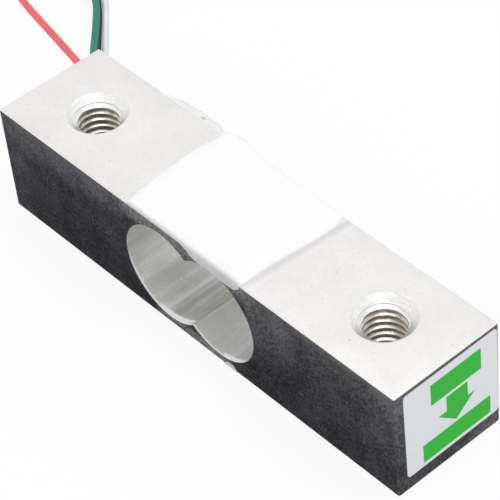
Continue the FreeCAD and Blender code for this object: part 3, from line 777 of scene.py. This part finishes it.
# The cloudy bead down the back face: clear silicone over the terminal strip, the solder and the leads' ends.
# It swells out most along the top edge, where a thin smear of it runs on to the left, and it stands up in a
# collar round the leads.
bead_low, bead_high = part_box("lead_silicone")
bead_size = bead_high.y - half_width
bead_right = -8.4 * mm
bead_top = flat_half - 0.05 * mm
bead_foot = flat_half + corner_run + bar_high.z - edge_break - bead_low.z
bead_far_left = -17.4 * mm
bead_narrowing = 2.0 * mm
bead_foot_run = 0.6 * mm
collar_reach = 0.5 * mm
collar_height = 1.1 * mm
collar_width = 0.16
steepest = 1.45
bead_swell = [(-17.4, 0.0), (-17.0, 0.12), (-16.0, 0.34), (-15.0, 0.54), (-14.0, 0.74), (-13.0, 0.80),
              (-12.0, 0.77), (-11.0, 0.68), (-10.0, 0.62), (-9.5, 0.48), (-8.9, 0.38), (-8.3, 0.3)]


def at_leads(s):
    """1 beside the leads, and softly 0 above and below them."""
    z = bead_foot + bead_low.z - s
    return ease(4.0 * mm, 5.2 * mm, z) * ease(9.6 * mm, 8.4 * mm, z)


def bead_left(s):
    """The left edge: far out along the top, then in to the bead's own width, and out a little at the leads."""
    down = s - bead_top
    ragged = (0.1 * math.sin(s / mm * 1.7) + 0.12 * math.sin(s / mm * 0.63)) * mm
    edge = bead_far_left + bead_narrowing * ease(0.7 * mm, 2.4 * mm, down)
    return edge + ragged * ease(1.0 * mm, 3.0 * mm, down) - collar_reach * at_leads(s)


def bead_outline(u, v):
    """Rows run down from the top edge, closest there, and columns from left to right."""
    s = bead_top + v ** 1.8 * (bead_foot - bead_top)
    return bead_left(s) + u * (bead_right - bead_left(s)), s


def bead_thickness(x, s):
    """An arch with the collar at its left, under the swell along the top, which ends level with the bar."""
    across = min(max((x - bead_left(s)) / (bead_right - bead_left(s)), 0.0), 1.0)
    arch = bead_size * (1 - (2 * across - 1) ** 2) ** 0.6 * (0.95 + 0.05 * math.sin(s / mm * 1.3))
    collar = collar_height * at_leads(s) * (1 - (1 - min(across / collar_width, 1.0)) ** 2) ** 0.5
    lower = max(arch, collar * (1 - 0.12 * ease(0.2, 0.5, across)))
    swell = between(x, bead_swell)
    size = swell + (lower - swell) * ease(0.8 * mm, 2.4 * mm, s - bead_top)
    corner = min(max(s - flat_half, 0.0) / edge_break, steepest)
    ledge = edge_break * (1 / math.cos(corner) - 1) + skin_sink
    return min(ledge, size, round_end(bead_foot - s, size, bead_foot_run))


bead = skin("lead_silicone_bead", 70, 110, bead_outline, bead_thickness)
silicone_clear, tree = new_material("silicone_clear")
place = object_place(tree)
at_x, at_y, at_z = node(tree, "ShaderNodeSeparateXYZ", Vector=place).outputs
cloud = noise(tree, place, 500.0, 4.0)
patches = ramp(tree, noise(tree, place, 260.0, 3.0), 0.35, 0.65)
milky = tinted(tree, patches, (0.70, 0.70, 0.68, 1), (0.88, 0.88, 0.865, 1))
clear = tinted(tree, cloud, (0.90, 0.90, 0.89, 1), (0.97, 0.97, 0.965, 1))
tint = tinted(tree, ramp(tree, at_z, 0.0110, 0.0127), milky, clear)

# A brownish spot on the swell.
spot = node(tree, "ShaderNodeMapping", {"vector_type": "TEXTURE"}, Vector=place,
            Location=(-0.01175, 0.0065, 0.0132), Scale=(0.0005, 0.00022, 0.0004)).outputs[0]
spot = node(tree, "ShaderNodeVectorMath", {"operation": "LENGTH"}, _0=spot).outputs["Value"]
spot = times(tree, ramp(tree, spot, 1.0, 0.3, 0.0, 0.8), ramp(tree, cloud, 0.35, 0.6, 0.2, 1.0))
tint = tinted(tree, spot, tint, (0.55, 0.47, 0.36, 1))
rubber = finish(tree, tint, 0.28, 0.0, cloud, 0.00006, 0.25)
rubber.inputs["Transmission Weight"].default_value = 0.12
rubber.inputs["IOR"].default_value = 1.41
bead.data.materials.append(silicone_clear)
only(bead)
bpy.ops.object.shade_smooth()
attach(bead, "root")
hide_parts("lead_silicone")

# The label on the loaded end: white paper with a plain green print, stuck on a little askew. An arrow shows
# which way the load goes, and bars stand where such a label has its words.
label_low, label_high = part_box("end_label")
label_turn = math.radians(0.5)
label_centre = (label_low + label_high) / 2
label_width = 0.0114
label_height = 0.0105
paper_thickness = 0.00008
print_thickness = 0.00002
print_shift = 0.0004
corner_radius = 0.0004
arrow = [(-0.00028, 0.00140), (0.00232, 0.00140), (0.00232, -0.0004), (0.00312, -0.0004), (0.00082, -0.0023),
         (-0.00128, -0.0004), (-0.00028, -0.0004)]
upper_bar = [(-0.0021, 0.00175), (0.00405, 0.00175), (0.00405, 0.0043), (-0.0021, 0.0043)]
lower_bar = [(-0.0033, -0.0048), (0.00505, -0.0048), (0.00505, -0.0026), (-0.0033, -0.0026)]

bpy.ops.object.select_all(action="DESELECT")
bpy.ops.mesh.primitive_cube_add(size=1.0, location=(label_low.x + paper_thickness / 2, 0, 0),
                                scale=(paper_thickness, label_width, label_height))
label = bpy.context.object
label.name = "label_paper"
place_in_mesh(label)
bpy.ops.object.mode_set(mode="EDIT")
bpy.ops.mesh.select_mode(type="EDGE")
bpy.ops.mesh.select_all(action="DESELECT")
bpy.ops.object.mode_set(mode="OBJECT")
for edge in label.data.edges:
    a, b = (label.data.vertices[k].co for k in edge.vertices)
    edge.select = abs(a.x - b.x) > paper_thickness / 2
bpy.ops.object.mode_set(mode="EDIT")
bpy.ops.mesh.bevel(offset=corner_radius, segments=5, affect="EDGES")
bpy.ops.mesh.select_mode(type="VERT")
bpy.ops.object.mode_set(mode="OBJECT")

prints = []
for outline in (arrow, upper_bar, lower_bar):
    corners = [(label_low.x + paper_thickness, y - print_shift, z) for y, z in outline]
    mesh = bpy.data.meshes.new("print")
    mesh.from_pydata(corners, [], [range(len(corners))])
    piece = bpy.data.objects.new("print", mesh)
    scene.collection.objects.link(piece)
    thicken(piece, (print_thickness, 0, 0))
    prints.append(piece)
bpy.ops.object.select_all(action="DESELECT")
for piece in prints:
    piece.select_set(True)
bpy.context.view_layer.objects.active = prints[0]
bpy.ops.object.join()
print_piece = bpy.context.object
print_piece.name = "label_print"
for piece in (label, print_piece):
    piece.location = (0, label_centre.y, label_centre.z)
    piece.rotation_euler = (label_turn, 0, 0)
    place_in_mesh(piece)

label_paper, tree = new_material("label_paper")
fibre = plain_noise(tree, 1500.0, 4.0)
tint = tinted(tree, fibre, (0.735, 0.757, 0.792, 1), (0.785, 0.805, 0.835, 1))
finish(tree, tint, 0.55, 0.0, fibre, 0.00001, 0.1)
label.data.materials.append(label_paper)

green_ink, tree = new_material("green_ink")
tint = tinted(tree, plain_noise(tree, 2500.0, 3.0), (0.008, 0.43, 0.018, 1), (0.018, 0.50, 0.028, 1))
ink = finish(tree, tint, 0.5, 0.0)
ink.inputs["Specular IOR Level"].default_value = 0.25
print_piece.data.materials.append(green_ink)
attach(label, "root")
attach(print_piece, "root")
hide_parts("end_label")

# What the silicone hides: the gauges with their foil grids, the terminal strip with its pads, the solder,
# the enamelled wires and the tinned ends of the leads. Each keeps its solid and gets its real finish: a deep
# and a pale colour, how metallic it is, and its roughness.
hidden_finishes = {
    "gauge_film": ((0.60, 0.30, 0.07, 1), (0.74, 0.42, 0.13, 1), 0.0, 0.3),
    "gauge_foil": ((0.42, 0.36, 0.30, 1), (0.58, 0.52, 0.45, 1), 1.0, 0.35),
    "terminal_strip": ((0.05, 0.14, 0.07, 1), (0.09, 0.22, 0.11, 1), 0.0, 0.5),
    "terminal_pads": ((0.60, 0.30, 0.17, 1), (0.80, 0.46, 0.28, 1), 1.0, 0.3),
    "solder": ((0.50, 0.50, 0.50, 1), (0.72, 0.72, 0.72, 1), 1.0, 0.32),
    "enamel_wires": ((0.28, 0.06, 0.02, 1), (0.42, 0.11, 0.03, 1), 0.3, 0.2),
    "lead_cores": ((0.55, 0.53, 0.50, 1), (0.80, 0.78, 0.74, 1), 1.0, 0.3),
}
for kind, (deep, pale, metallic, roughness) in hidden_finishes.items():
    material, tree = new_material(kind)
    finish(tree, tinted(tree, plain_noise(tree, 2200.0, 3.0), deep, pale), roughness, metallic)
    for name, cad_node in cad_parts.items():
        if kind in name and not cad_node.hide_render:
            cad_node.data.materials.clear()
            cad_node.data.materials.append(material)
